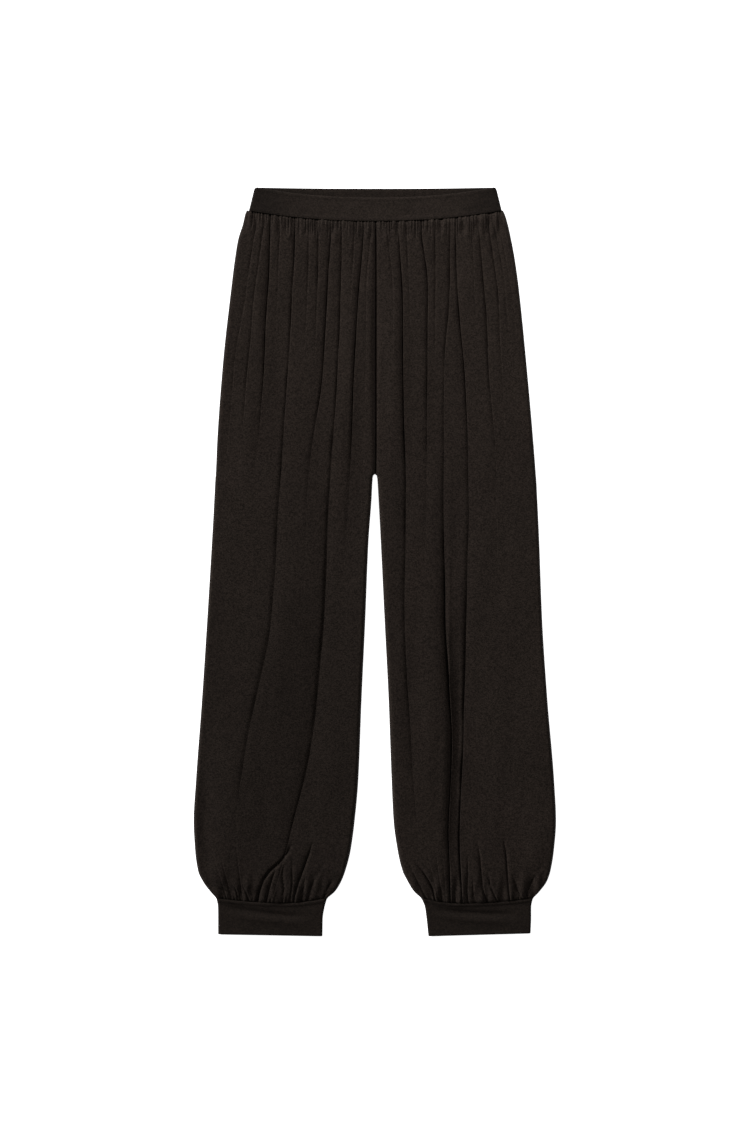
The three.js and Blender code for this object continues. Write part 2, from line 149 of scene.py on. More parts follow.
# Each fold's distance out and its depth at the stations. The last value is 0 for a fold, and the half width
# of a flat hollow where the cloth sinks between two folds.
FOLDS = {
    "right": [
        ([7, 12.5, 14, 19, 31, 41, 48, 84], [1.5, 0.8, 0.3, 0, 0, 0, 0, 0], 0),
        ([17, 23, 29.5, 36, 50, 64, 84, 107], [3, 4.8, 4.4, 1.4, 0, 0, 0, 0], 0),
        ([29, 33, 42, 50, 62, 78, 103, 117], [2.5, 0.4, 0, 0, 0, 0, 0, 0], 0),
        ([46, 47.3, 51.5, 62.5, 71.1, 88, 114.5, 139], [3, 3.0, 2.6, 2.0, 2.4, 1.3, 0.9, 0], 0),
        ([60, 65, 71.5, 92, 98, 108, 126, 144], [3, 4.6, 3.2, 1, 0, 0, 0, 0], 0),
        ([77, 78, 84, 104, 116, 126, 135, 160], [2.8, 1.8, 0, 0, 0, 0, 0, 0], 0),
        ([89, 91.5, 98, 114, 128, 142, 150, 169], [1.8, 1.2, 0, 0, 0, 0, 0, 0], 0),
        ([108, 111.5, 118, 129, 141.5, 174, 188, 177], [4.5, 2.8, 2.2, 2.8, 2.8, 2, 0, 1.5], 0),
        ([128, 131, 138, 152, 168, 192, 199, 185], [2.2, 0.6, 0, 0, 0, 0, 0, 0], 0),
        ([141, 144.5, 150.5, 161, 178, 203, 211, 192], [3.8, 4.6, 2.5, 0, 0, 0, 0, 1.2], 0),
        ([150, 161, 172, 185, 199, 216, 222, 199], [2, 1.2, 1.6, 0, 0, 0, 0, 1.2], 0),
        ([160, 173, 190, 202, 213, 226, 232, 205], [2, 1, 0.8, 0, 0, 0, 0, 0], 0),
    ],
    "left": [
        ([15.5, 22, 23, 26, 28, 34, 40, 69], [1.8, 1, 0, 0, 0, 0, 0, 0], 0),
        ([30.5, 34.5, 36, 39, 37, 45, 54, 78], [2.5, 4.8, 4.9, 2.5, 1.8, 0.7, 0, 0], 0),
        ([41, 44, 46, 51, 52, 60, 64, 83.5], [2.2, 0.6, 0, 0, 0, 0, 0, 1], 0),
        ([60, 68.6, 68.2, 67, 62, 73, 77, 89], [4.2, 3.8, 2.8, 0.9, 0.2, 0, 0, 1.5], 0),
        ([78.5, 79, 79, 79, 77, 87, 87, 94], [2.6, 1.5, 0, 0, 0, 0, 0, 0.8], 0),
        ([99, 97.5, 91, 89.5, 91.5, 99.5, 96, 99.5], [2.6, 3.6, 1.5, 2.1, 6.2, 7.2, 5.2, 4.2], 0),
        ([102, 103, 104, 107, 104, 104, 101.5, 107], [0.4, 0.5, 0, 0.3, 0.9, 4.3, 1.7, 0.2], 7.5),
        ([106, 108, 118.3, 122.9, 119, 114.5, 110.5, 115], [3, 4.0, 3.0, 1.6, 2.9, 3.5, 3.3, 3.9], 0),
        ([128, 131, 136, 144, 144, 138, 122, 124], [1.5, 0.5, 0, 0, 0, 0, 0, 0], 0),
        ([137, 144, 151, 160, 161, 156, 138, 146], [1.8, 3.4, 2.3, 0.3, 0, 0, 0, 0], 0),
        ([150, 161.5, 168, 174, 176, 172, 153, 162], [3.4, 2.2, 0.5, 0, 0, 0, 0, 0], 0),
        ([158, 172, 180, 188, 192, 190, 168, 178], [1.5, 0.8, 0, 0, 0, 0, 0, 0], 0),
        ([164, 180, 191, 200, 207, 210, 200, 192], [1, 0.4, 0, 0, 0, 0, 0, 0], 0),
        ([169, 187, 198, 208, 215, 224, 223, 202], [0.8, 0, 0, 0, 0, 0, 0, 0], 0),
    ],
}
# Creases that run slantwise into the gathers above the cuffs: depth, half width, and the path of each as
# points across (to the photo's right) and down, from where it fades in to the seam.
SLANTED_CREASES = {
    "right": [
        (1.2, 1.5, [(-238, 900), (-234, 918), (-224, 928), (-209, 934), (-192, 939), (-180, 945)]),
        (1.1, 1.4, [(-226, 912), (-214, 924), (-200, 931), (-188, 936)]),
        (1.8, 1.2, [(-187, 930), (-184, 938), (-183, 948)]),
        (2.4, 1.4, [(-178, 926), (-172, 936), (-168, 948)]),
        (5.0, 2.0, [(-109, 874), (-117, 889), (-127, 901), (-140, 911), (-149, 922), (-154, 936),
                    (-157, 949)]),
        (3.6, 1.5, [(-130, 904), (-137, 920), (-141, 932), (-145, 949)]),
        (2.0, 1.4, [(-120, 900), (-123, 914), (-121, 932), (-123, 949)]),
        (1.8, 1.3, [(-110, 892), (-110, 925), (-113, 949)]),
        (3.8, 1.5, [(-82, 872), (-88, 890), (-95, 908), (-102, 924), (-107, 940), (-108, 950)]),
        (2.0, 1.3, [(-92, 915), (-95, 932), (-98, 950)]),
        (1.9, 1.4, [(-66, 898), (-77, 916), (-85, 932), (-90, 949)]),
        (2.2, 1.3, [(-52, 918), (-61, 933), (-68, 947)]),
    ],
    "left": [
        (1.8, 1.5, [(42, 896), (49, 910), (57, 925), (64, 938), (69, 948)]),
        (3.4, 1.6, [(52, 898), (63, 910), (71, 921), (78, 934), (81, 950)]),
        (0.8, 1.2, [(88, 922), (89, 936), (90, 951)]),
        (1.8, 1.2, [(107, 925), (107, 940), (108, 953)]),
        (1.8, 1.4, [(124, 888), (124, 914), (123, 932), (125, 953)]),
        (1.8, 1.2, [(131, 915), (131, 935), (134, 952)]),
        (2.4, 1.4, [(136, 866), (140, 893), (142, 915), (144, 932), (150, 951)]),
        (2.4, 1.3, [(150, 912), (155, 930), (164, 950)]),
        (2.9, 1.4, [(171, 866), (175, 890), (177, 918), (180, 950)]),
        (2.0, 1.3, [(184, 915), (189, 932), (197, 949)]),
        (1.3, 1.4, [(226, 898), (217, 914), (207, 930), (202, 945)]),
    ],
}
CREASE_RIGHT_WALL = 0.8
CREASE_FLANKS = (9, 5)
CREASE_FADE = 0.35  # part of its path over which a crease fades in
# Fine gathers at the two seams: the row of points that they start from, and their spacing, reach and depth.
WAIST_GATHERS = {"row": 0, "spacing": 3.7, "reach": 30, "depth": 3.4}
ANKLE_GATHERS = {"row": -1, "spacing": 6.4, "reach": 11, "depth": 1.7}
GATHER_HALF = (1.25, 1.0)
GATHER_FLANKS = (4.5, 2.5)
FINE_CLEFT_SHARE = 0.75  # the shares of the depth in the creases and the fine gathers, as for the folds
FINE_FLANK_SHARES = (0.4, 0.3)
FADE_POWER = 0.8
# Broad soft hills and hollows of the laid legs: across, down, half width, half length, rise.
BROAD_SWELLS = {
    "right": [
        (-226, 840, 11, 85, -2.3),
        (-195, 800, 20, 110, 1.0),
        (-172, 330, 12, 60, 1.6),
        (-45, 385, 15, 100, 2.0),
        (-155, 170, 8, 50, 1.0),
        (-58, 700, 22, 190, 0.6),
        (-128, 250, 12, 90, -1.4),
        (-31, 215, 12, 110, 2.6),
        (-5, 240, 11, 120, 1.6),
        (-163, 938, 11, 9, -2.2),
        (-207, 914, 12, 14, 2.0),
    ],
    "left": [
        (72, 740, 14, 120, 1.2),
        (150, 420, 40, 140, 1.2),
        (214, 885, 12, 26, 1.6),
        (28, 230, 15, 130, 2.8),
        (64, 240, 10, 80, 1.2),
        (38, 640, 11, 90, 1.0),
    ],
}
# Folds whose left roll falls away over a long reach, by the leg's side and the fold's number: reach and fall.
LONG_FALLS = {
    (-1, 3): (58, [0, 0, 0, 3.2, 5.8, 6.8, 5.8, 0]),
    (1, 1): (22, [0, 0, 0, 1.4, 2, 2.2, 0.9, 0]),
    (1, 7): (26, [0, 0, 0.6, 1.4, 2.8, 4.4, 3.4, 0.4]),
    (1, 5): (14, [0, 0, 0, 0.8, 1.2, 0.9, 0.3, 0]),
}
# Small uneven swells: rise, how closely they follow each other down the leg, seed, longest and shortest wave.
LAID_SWELL = (0.55, 0.45, 21, 110, 40)
LAID_RIPPLE = (0.16, 0.6, 23, 34, 12)
WAIST_PUFFS = (0.9, 0.3, 25, 16, 8)
WAIST_PUFFS_SPAN = (80, 42)
ANKLE_PUFFS = (1.2, 0.35, 27, 22, 10)
ANKLE_PUFFS_SPAN = (903, 934)
BAND_SWELL = (0.2, 1.4, 31, 60, 18)
CUFF_SWELL = (0.22, 1.0, 41, 60, 20)
GATHER_SEEDS = (11, 13)  # at the waist and at the ankle
BACK_FOLD_SHARE = 0.34
CENTRE_VALLEY = 1.9
CENTRE_VALLEY_POWER = 2.4
CENTRE_CLEFT = 4.0
CENTRE_CLEFT_HALF = 1.5
CENTRE_CLEFT_MIDDLE = 1.2  # the cleft lies a little to the photo's right of the seam
CENTRE_RISE = 7.0
CENTRE_SEAM_REACH = {"right": 5.5, "left": 8.0}  # the left leg's cloth rolls over the seam
BACK_CENTRE_HEIGHT = 1.2
SHARP_DEGREES = 38
FRONT_ROUNDING = 5.0
BACK_ROUNDING = 6.0
LOWEST_FRONT = 3.7  # the folds end softly above this height, clear of the back layer
LOWEST_SOFTNESS = 1.2
FLAT_LOFT = 4.2  # no folds where the front layer comes down to this height
FLAT_LOFT_FADE = 4.0
COLUMN_CROWDING = 0.095
ROW_CROWDING = 0.12
# Steps between two folds' lines, and rows down the panel.
FRONT_STEPS = {"right": (16, 204), "left": (14, 204)}
BACK_STEPS = (5, 150)

# Soft ridges across the waistband and the cuffs: rise, place down the loop, half width.
BAND_RIDGES = [(0.45, 2.4, 2.2), (0.35, 28.5, 2.0)]
CUFF_RIDGES = [(2.1, 1.9, 1.6), (0.3, 45.5, 1.8)]
# Each cuff's dent runs slantwise: its forms as above, where it starts, how far it runs down, and its reach.
CUFF_DENTS = [(2.9, 0, 4.2), (-1.5, 10, 5)]
DENT_START = 9.0
DENT_SLANT = 13.0
DENT_MIDDLE = 0.45
DENT_HALF = 0.34
CUFF_HEIGHT = 48.0
CUFF_PLACES = np.array([0, 11.5, 25.5, 48])
# Each cuff: how far its seam dips, where across the dip is deepest, and at each place down it the distance
# out of its outer and inner edge, and how far down each edge lies.
CUFFS = {
    "right": (6.0, 0.62, [[211.5, 64, 949.5, 949.5], [209.6, 67.6, 961, 963],
                          [209.4, 69.6, 975, 977], [209.4, 70, 997.5, 1000]]),
    "left": (6.5, 0.66, [[211, 62.5, 949.5, 949.5], [208.8, 67, 961, 961.5],
                         [208.8, 69, 975, 976], [208, 71.5, 996.2, 1000]]),
}
CUFF_STRAIGHT_END = 0.04  # share of the cuff's width at each end that doesn't dip
SIGN = {"right": -1.0, "left": 1.0}
OTHER = {"right": "left", "left": "right"}
LEG_SEED = {"right": 0, "left": 1}
ROUND_STEPS = 4  # on the folded edges of the waistband and the cuffs


def smooth_line(places, values, at):
    """Reads a smooth line through values at places, which never swings past them."""
    places = np.asarray(places, float)
    values = np.asarray(values, float)
    at = np.clip(np.asarray(at, float), places[0], places[-1])
    secant = np.diff(values) / np.diff(places)
    slope = np.empty_like(values)
    slope[0], slope[-1] = secant[0], secant[-1]
    product = secant[:-1] * secant[1:]
    total = secant[:-1] + secant[1:]
    slope[1:-1] = np.where(product > 0, 2 * product / np.where(product > 0, total, 1), 0)
    k = np.clip(np.searchsorted(places, at) - 1, 0, len(places) - 2)
    step = places[k + 1] - places[k]
    t = (at - places[k]) / step
    rise = values[k + 1] - values[k]
    start, end = slope[k] * step, slope[k + 1] * step
    return values[k] + t * (start + t * (3 * rise - 2 * start - end + t * (start + end - 2 * rise)))


def smoothstep(low, high, value):
    t = np.clip((value - low) / (high - low), 0, 1)
    return t * t * (3 - 2 * t)


def ridges(forms, place):
    """The sum of soft ridges, each given by its rise, middle and half width."""
    return sum(rise * np.exp(-((place - middle) / half) ** 2) for rise, middle, half in forms)


def quarter_round(distance, reach):
    return np.sqrt(np.clip(1 - (1 - np.clip(distance / reach, 0, 1)) ** 2, 0, 1))


def edges_at(side, down):
    outer_column, inner_column = EDGE_COLUMN[side]
    inner = smooth_line(OUTLINE[:, 0], OUTLINE[:, inner_column], down)
    outer = smooth_line(OUTLINE[:, 0], OUTLINE[:, outer_column], down)
    return np.maximum(inner, CLOSED_SEAM), outer


def sway(down, seed, longest, shortest):
    """An uneven line of about +-1 down the leg, from a few seeded waves."""
    dice = np.random.default_rng(seed)
    total = np.zeros_like(down)
    for _ in range(5):
        length = shortest * (longest / shortest) ** dice.random()
        total += np.sin(down * 2 * math.pi / length + dice.random() * 2 * math.pi)
    return total / math.sqrt(5)


def fold_line(folds, number, down, sign):
    """Where one fold runs, with the small sway that hand-laid cloth has."""
    line = smooth_line(STATIONS, folds[number][0], down) + sign * smooth_line(STATIONS, FOLD_MIDDLE, down)
    size, longest, shortest = PLACE_SWAY
    return line + size * sway(down, 100 + number, longest, shortest)


def fold_shape(across, half, reach, cleft, share):
    """Depth of one fold seen across: a narrow cleft, and the flanks of the two rolls of cloth that meet in
    it. half, reach and share are pairs, of the fold's left side and of its right side."""
    is_left = across < 0
    narrow = np.exp(-(across / np.where(is_left, half[0], half[1])) ** 2)
    flank = np.clip(1 - np.abs(across) / np.where(is_left, reach[0], reach[1]), 0, 1) ** FLANK_POWER
    ease = np.where(is_left, share[0], share[1] + (share[0] - share[1]) * np.exp(-(across / half[1]) ** 2))
    return cleft * narrow + ease * flank


def folds_depth(folds, out, down, sign):
    """Depth of all the folds of one leg at its points. sign is the leg's side of the middle."""
    sway_size, sway_longest, sway_shortest = DEPTH_SWAY
    half = smooth_line(STATIONS, CLEFT_HALF, down)
    half = (half, half * smooth_line(STATIONS, RIGHT_WALL, down))
    reach = (smooth_line(STATIONS, LEFT_FLANK, down), smooth_line(STATIONS, RIGHT_FLANK, down))
    cleft = smooth_line(STATIONS, CLEFT_SHARE, down)
    share = (smooth_line(STATIONS, LEFT_SHARE, down), smooth_line(STATIONS, RIGHT_SHARE, down))
    crown_share = smooth_line(STATIONS, CROWN_SHARE, down)
    total = np.zeros_like(out)
    fallen = np.zeros_like(out)
    for number, (_, depths, hollow_half) in enumerate(folds):
        unevenness = sway_size * sway(down, 200 + number, sway_longest, sway_shortest)
        depth = smooth_line(STATIONS, depths, down) * (1 + unevenness)
        across = (out - fold_line(folds, number, down, sign)) * sign
        right_of_wall = smoothstep(0, WALL_STEP, across)
        if hollow_half:
            shape = 1 / (1 + (across / hollow_half) ** 4)
        else:
            shape = fold_shape(across, half, reach, cleft, share)
            crown = np.clip(1 - across / CROWN_REACH, 0, 1) ** CROWN_POWER * right_of_wall
            fallen -= crown_share * depth * crown
        total += (depth * shape) ** 2
        if (sign, number) in LONG_FALLS:
            long_reach, falls = LONG_FALLS[sign, number]
            fall = np.clip(1 + across / long_reach, 0, 1) ** LONG_FALL_POWER * (1 - right_of_wall)
            fallen += smooth_line(STATIONS, falls, down) * fall
    return np.sqrt(total) + fallen


def slanted_depth(side, x, down):
    """Depth of the creases that run slantwise to the folds, just above the cuffs."""
    total = np.zeros_like(x)
    for depth, half, path in SLANTED_CREASES[side]:
        nearest = np.full_like(x, 1e9)
        along = np.zeros_like(x)
        offset = np.zeros_like(x)
        steps = len(path) - 1
        for k in range(steps):
            (x0, d0), (x1, d1) = path[k], path[k + 1]
            run_x, run_d = x1 - x0, d1 - d0
            t = np.clip(((x - x0) * run_x + (down - d0) * run_d) / (run_x ** 2 + run_d ** 2), 0, 1)
            away_x, away_d = x - (x0 + t * run_x), down - (d0 + t * run_d)
            away = np.hypot(away_x, away_d)
            closer = away < nearest
            nearest = np.where(closer, away, nearest)
            along = np.where(closer, (k + t) / steps, along)
            offset = np.where(closer, away_x * run_d - away_d * run_x, offset)
        fade = np.clip(along / CREASE_FADE, 0, 1) ** FADE_POWER
        across = nearest * np.where(offset < 0, -1, 1)
        halves = (half, half * CREASE_RIGHT_WALL)
        shape = fold_shape(across, halves, CREASE_FLANKS, FINE_CLEFT_SHARE, FINE_FLANK_SHARES)
        total += (depth * fade * shape) ** 2
    return np.sqrt(total)


def ripple(x, y, seed, longest, shortest, count=14):
    """A soft uneven swell of about +-1, from seeded waves in all directions."""
    dice = np.random.default_rng(seed)
    total = np.zeros_like(x)
    for _ in range(count):
        length = shortest * (longest / shortest) ** dice.random()
        turn = dice.random() * math.pi
        start = dice.random() * 2 * math.pi
        wave = (x * math.cos(turn) + y * math.sin(turn)) * 2 * math.pi / length + start
        total += np.sin(wave) * (length / longest) ** 0.5
    return total / math.sqrt(count)


def swells(form, x, down, leg=0, share=1.0):
    """One of the tables' small uneven swells, from its own seed on each leg."""
    rise, closeness, seed, longest, shortest = form
    return rise * share * ripple(x, down * closeness, seed + leg, longest, shortest)


def waist_dip(x):
    return 1 - np.minimum(np.abs(x) / WAIST_SEAM_HALF, 1) ** DIP_POWER


def cuff_dip(side, share):
    dip, middle, _ = CUFFS[side]
    reach = np.where(share < middle, middle, 1 - middle) - CUFF_STRAIGHT_END
    return dip * (1 - np.clip(np.abs(share - middle) / reach, 0, 1) ** 2)


def seam_shift(side, out, down, is_front):
    """How much further down the cloth lies than on straight seams."""
    inner, outer = edges_at(side, down)
    waist = (FRONT_DIP if is_front else BACK_DIP) * waist_dip(out)
    shift = waist * (1 - smoothstep(WAIST_SEAM_DOWN, WAIST_DIP_END, down))
    if is_front:
        ankle = cuff_dip(side, (outer - out) / (outer - inner))
        shift = shift + ankle * smoothstep(CUFF_DIP_START, ANKLE_SEAM_DOWN, down)
    return shift


def inseam_share(down):
    return smoothstep(*INSEAM_SPAN, down)


def short_gathers(out, down, sign, seed, row, spacing, reach, depth):
    """Fine gathers along the seam at one end row, each with its own place, length and depth. They follow
    the run of the folds around them."""
    dice = np.random.default_rng(seed)
    total = np.zeros_like(out)
    run = np.abs(down - down[row, 0])
    place = out[row, 0] + dice.uniform(0.3, 0.9) * spacing
    while place < out[row, -1]:
        column = np.argmin(np.abs(out[row] - place))
        length = reach * dice.uniform(0.35, 1.3)
        deep = depth * dice.uniform(0.4, 1.2)
        across = (out - out[:, column][:, None]) * sign
        shape = fold_shape(across, GATHER_HALF, GATHER_FLANKS, FINE_CLEFT_SHARE, FINE_FLANK_SHARES)
        total = np.maximum(total, deep * np.clip(1 - run / length, 0, 1) ** FADE_POWER * shape)
        place += spacing * dice.uniform(0.6, 1.5)
    return total


def front_height(side, out, down):
    """Height of a front panel's outer side: its loft between rounded edges, its swells, less its folds."""
    inner, outer = edges_at(side, down)
    sign = SIGN[side]
    leg = LEG_SEED[side]
    loft = smooth_line(LOFT[:, 0], LOFT[:, 1], down)
    seam = SIDE_SEAM_LIFT + SEAM_SPLIT
    share = inseam_share(down)
    fade = np.clip((loft - FLAT_LOFT) / FLAT_LOFT_FADE, 0, 1)
    from_seam = out - inner
    centre = CENTRE_VALLEY * np.clip(1 - from_seam / CENTRE_SEAM_REACH[side], 0, 1) ** CENTRE_VALLEY_POWER
    centre += CENTRE_CLEFT * np.exp(-((from_seam - sign * CENTRE_CLEFT_MIDDLE) / CENTRE_CLEFT_HALF) ** 2)
    inseam_rise = quarter_round(from_seam, FRONT_ROUNDING)
    inner_rise = (1 - share) * np.clip(from_seam / CENTRE_RISE, 0, 1) + share * inseam_rise
    outer_rise = quarter_round(outer - out, FRONT_ROUNDING)
    near_outer = seam + (loft - seam) * outer_rise
    near_inner = (1 - share) * (loft - centre * fade)
    near_inner += share * (seam + (loft - seam) * inseam_rise)
    folded = folds_depth(FOLDS[side], out, down, sign) ** 2
    folded += slanted_depth(side, out * sign, down) ** 2
    folded += short_gathers(out, down, sign, GATHER_SEEDS[0] + leg, **WAIST_GATHERS) ** 2
    folded += short_gathers(out, down, sign, GATHER_SEEDS[1] + leg, **ANKLE_GATHERS) ** 2
    swell = swells(LAID_SWELL, out * sign, down, leg)
    swell += swells(LAID_RIPPLE, out * sign, down, leg)
    for x, middle, half_width, half_length, rise in BROAD_SWELLS[side]:
        swell += rise * np.exp(-((out * sign - x) / half_width) ** 2 - ((down - middle) / half_length) ** 2)
    swell += swells(WAIST_PUFFS, out, down, leg, smoothstep(*WAIST_PUFFS_SPAN, down))
    swell += swells(ANKLE_PUFFS, out, down, leg, smoothstep(*ANKLE_PUFFS_SPAN, down))
    relief = swell - np.sqrt(folded)
    inside = outer_rise * inner_rise * fade
    plain = np.minimum(near_outer, near_inner)
    height = plain + relief * inside
    lowest = np.minimum(LOWEST_FRONT, plain)
    above = height - lowest
    return lowest + (above + np.sqrt(above ** 2 + (LOWEST_SOFTNESS * inside) ** 2)) / 2


def back_height(side, out, down):
    """Height of a back panel's underside: flat but for its rounded edges and low folds."""
    inner, outer = edges_at(side, down)
    seam = SIDE_SEAM_LIFT - SEAM_SPLIT
    share = inseam_share(down)
    outer_rise = quarter_round(outer - out, BACK_ROUNDING)
    valley = 1 - np.clip(1 - (out - inner) / CENTRE_SEAM_REACH[side], 0, 1) ** CENTRE_VALLEY_POWER
    inner_rise = (1 - share) * valley + share * quarter_round(out - inner, BACK_ROUNDING)
    centre = (1 - share) * BACK_CENTRE_HEIGHT + share * seam
    edges = seam * (1 - outer_rise) + centre * (1 - inner_rise)
    folded = folds_depth(FOLDS[OTHER[side]], out, down, SIGN[side])
    return edges + BACK_FOLD_SHARE * folded * outer_rise * inner_rise


def column_places(side, folds, down, steps):
    """Places across each row: the edges, each fold's line and steep wall, and steps between that crowd
    towards the lines."""
    inner, outer = edges_at(side, down)
    lines = [fold_line(folds, number, down, SIGN[side]) for number in range(len(folds))]
    marks = [inner]
    for line in lines:
        marks += [line, line + WALL_STEP] if SIGN[side] > 0 else [line - WALL_STEP, line]
    marks.append(outer)
    t = np.linspace(0, 1, steps + 1)[:-1]
    crowded = t - COLUMN_CROWDING * np.sin(2 * math.pi * t)
    rows = []
    for k in range(len(marks) - 1):
        shape = crowded if k % 2 == 0 else t[:1]
        if k == len(marks) - 2:
            shape = np.sin(t * math.pi / 2)
        rows.append(marks[k][:, None] + (marks[k + 1] - marks[k])[:, None] * shape[None, :])
    rows.append(outer[:, None])
    return np.concatenate(rows, axis=1)


def down_rows(count):
    """Places down a panel, closer together near both seams."""
    t = np.linspace(0, 1, count)
    eased = t - ROW_CROWDING * np.sin(2 * math.pi * t)
    rows = WAIST_SEAM_DOWN + (ANKLE_SEAM_DOWN - WAIST_SEAM_DOWN) * eased
    first = np.argmin(np.abs(rows - CROTCH_ROWS[0]))
    rows[first:first + len(CROTCH_ROWS)] = CROTCH_ROWS
    return rows


def cloth_grid(name, columns, rows):
    """A plain grid of cloth, whose points are then moved into place: its mesh, and each point's row and
    column."""
    made = bmesh.new()
    bmesh.ops.create_grid(made, x_segments=columns - 1, y_segments=rows - 1, size=1)
    for face in made.faces:
        face.smooth = True
    mesh = bpy.data.meshes.new(name)
    made.to_mesh(mesh)
    made.free()
    places = np.empty(len(mesh.vertices) * 3)
    mesh.vertices.foreach_get("co", places)
    places = places.reshape(-1, 3)
    j = np.rint((places[:, 0] + 1) / 2 * (columns - 1)).astype(int)
    i = np.rint((places[:, 1] + 1) / 2 * (rows - 1)).astype(int)
    return mesh, i, j


def add_piece(name, mesh):
    piece = bpy.data.objects.new(name, mesh)
    bpy.context.scene.collection.objects.link(piece)
    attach(piece, "root")
    return piece


def face_outwards(mesh, up):
    """Turns a sheet's faces so that they look up, or down where up is -1."""
    turned = bmesh.new()
    turned.from_mesh(mesh)
    turned.faces.ensure_lookup_table()
    total = sum(face.normal.z for face in turned.faces)
    if total * up < 0:
        bmesh.ops.reverse_faces(turned, faces=turned.faces)
    turned.to_mesh(mesh)
    turned.free()


def leg_panel(side, is_front, steps, rows):
    """One panel of jersey. A back has the other leg's folds, because it is seen from the other side."""
    name = f"{'front' if is_front else 'back'}_{side}_leg_cloth"
    folds = FOLDS[side] if is_front else FOLDS[OTHER[side]]
    down = down_rows(rows)
    out = column_places(side, folds, down, steps)
    below = np.repeat(down[:, None], out.shape[1], axis=1)
    height = front_height(side, out, below) if is_front else back_height(side, out, below)
    shift = seam_shift(side, out, below, is_front)
    tuck = np.zeros(rows)
    tuck[0], tuck[-1] = -SEAM_TUCK, SEAM_TUCK
    mesh, i, j = cloth_grid(name, out.shape[1], rows)
    points = np.stack([
        SIGN[side] * out[i, j],
        LENGTH / 2 - (below + shift + tuck[:, None])[i, j],
        height[i, j],
    ], axis=1) * MM
    mesh.vertices.foreach_set("co", points.ravel())
    mesh.update()
    face_outwards(mesh, 1 if is_front else -1)
    mesh.set_sharp_from_angle(angle=math.radians(SHARP_DEGREES))
    piece = add_piece(name, mesh)
    wall = piece.modifiers.new("cloth wall", "SOLIDIFY")
    wall.thickness = CLOTH * MM
    wall.offset = -1
    wall.use_even_offset = False
    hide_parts(f"{'front' if is_front else 'back'}_leg_{side}")
    return piece


def slab_outline(height, cloth, top_round, hem_round, along=26):
    """Once round the edge of a doubled cloth: its place down the loop and its depth into the wall."""
    turn = [math.pi / 2 * k / ROUND_STEPS for k in range(1, ROUND_STEPS + 1)]
    flat = np.linspace(top_round, height - hem_round, along)

    def hem(angle):
        return height - hem_round + hem_round * math.sin(angle), hem_round * (1 - math.cos(angle))

    def top(angle):
        return top_round - top_round * math.sin(angle), top_round * (1 - math.cos(angle))

    def inside(point):
        return point[0], cloth - point[1]

    points = [(a, 0.0) for a in flat]
    points += [hem(angle) for angle in turn]
    points += [inside(hem(angle)) for angle in turn[::-1]]
    points += [(a, cloth) for a in flat[::-1]]
    points += [inside(top(angle)) for angle in turn]
    points += [top(angle) for angle in turn[::-1]]
    return np.array(points)


def loop_places(flat_steps, turn_steps):
    """Once round a flattened loop: the place across its flat sides, -1 to 1, and the angle on its turns."""
    top = np.linspace(-1, 1, flat_steps)
    turn = np.linspace(math.pi / 2, -math.pi / 2, turn_steps + 2)[1:-1]
    places = [(u, math.pi / 2) for u in top]
    places += [(1.0, angle) for angle in turn]
    places += [(-u, -math.pi / 2) for u in top]
    places += [(-1.0, math.pi - angle) for angle in turn[::-1]]
    return np.array(places)


def cloth_loop(name, levels, lift, outline, relief, back_rise, flat_steps, turn_steps=10):
    """A loop of doubled cloth laid flat. levels gives the ends of each place down it, and how far down its
    front and its back lie there. relief raises the front layer, and back_rise the back one."""
    u, angle = loop_places(flat_steps, turn_steps).T
    around = len(u)
    section = len(outline)
    mesh, i, j = cloth_grid(name, around + 1, section + 1)
    cos, sin = np.cos(angle), np.sin(angle)
    cos[np.abs(cos) < 1e-9] = 0
    a = outline[:, 0][:, None]
    depth = outline[:, 1][:, None]
    left, right, front_down, back_down = levels(a)
    radius = lift / 2
    middle = (left + right) / 2
    half_flat = (right - left) / 2 - radius
    x = middle + half_flat * u[None, :] + radius * cos[None, :]
    share = np.clip((x - left) / (right - left), 0, 1)
    down = np.where(sin[None, :] > -1e-9, front_down(share), back_down(share))
    rise = relief(x, a + 0 * x, share) * np.clip(sin, 0, 1)[None, :]
    rise = rise + back_rise(a) * np.clip(-sin, 0, 1)[None, :]
    x = x - depth * cos[None, :]
    z = radius + radius * sin[None, :] - depth * sin[None, :] + rise
    points = np.stack([x, LENGTH / 2 - down + 0 * x, z], axis=2)
    picked = points[i % section, j % around] * MM
    mesh.vertices.foreach_set("co", picked.ravel())
    mesh.update()
    closed = bmesh.new()
    closed.from_mesh(mesh)
    bmesh.ops.remove_doubles(closed, verts=closed.verts, dist=1e-6)
    bmesh.ops.recalc_face_normals(closed, faces=closed.faces)
    closed.to_mesh(mesh)
    closed.free()
    return add_piece(name, mesh)


def waistband():
    def levels(a):
        share = a / WAIST_SEAM_DOWN
        half = BAND_TOP_HALF + (BAND_SEAM_HALF - BAND_TOP_HALF) * share
        half = half - BAND_CORNER_IN * np.clip(1 - a / BAND_CORNER, 0, 1) ** 2
        straight = a * (1 - SEAM_EASE / WAIST_SEAM_DOWN)

        def front(across):
            return straight + FRONT_DIP * waist_dip((2 * across - 1) * WAIST_SEAM_HALF)

        def back(across):
            return straight + BACK_DIP * waist_dip((2 * across - 1) * WAIST_SEAM_HALF)
        return BAND_SHIFT - half, BAND_SHIFT + half, front, back

    def relief(x, a, _share):
        return ridges(BAND_RIDGES, a) + swells(BAND_SWELL, x, a)

    def back_rise(a):
        return BAND_BACK_RISE * (1 - smoothstep(0, BAND_BACK_RISE_END, a))

    outline = slab_outline(WAIST_SEAM_DOWN, BAND_CLOTH, top_round=1.2, hem_round=0.7)
    piece = cloth_loop("elastic_waistband", levels, BAND_LIFT, outline, relief, back_rise, flat_steps=300)
    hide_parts("waistband")
    return piece


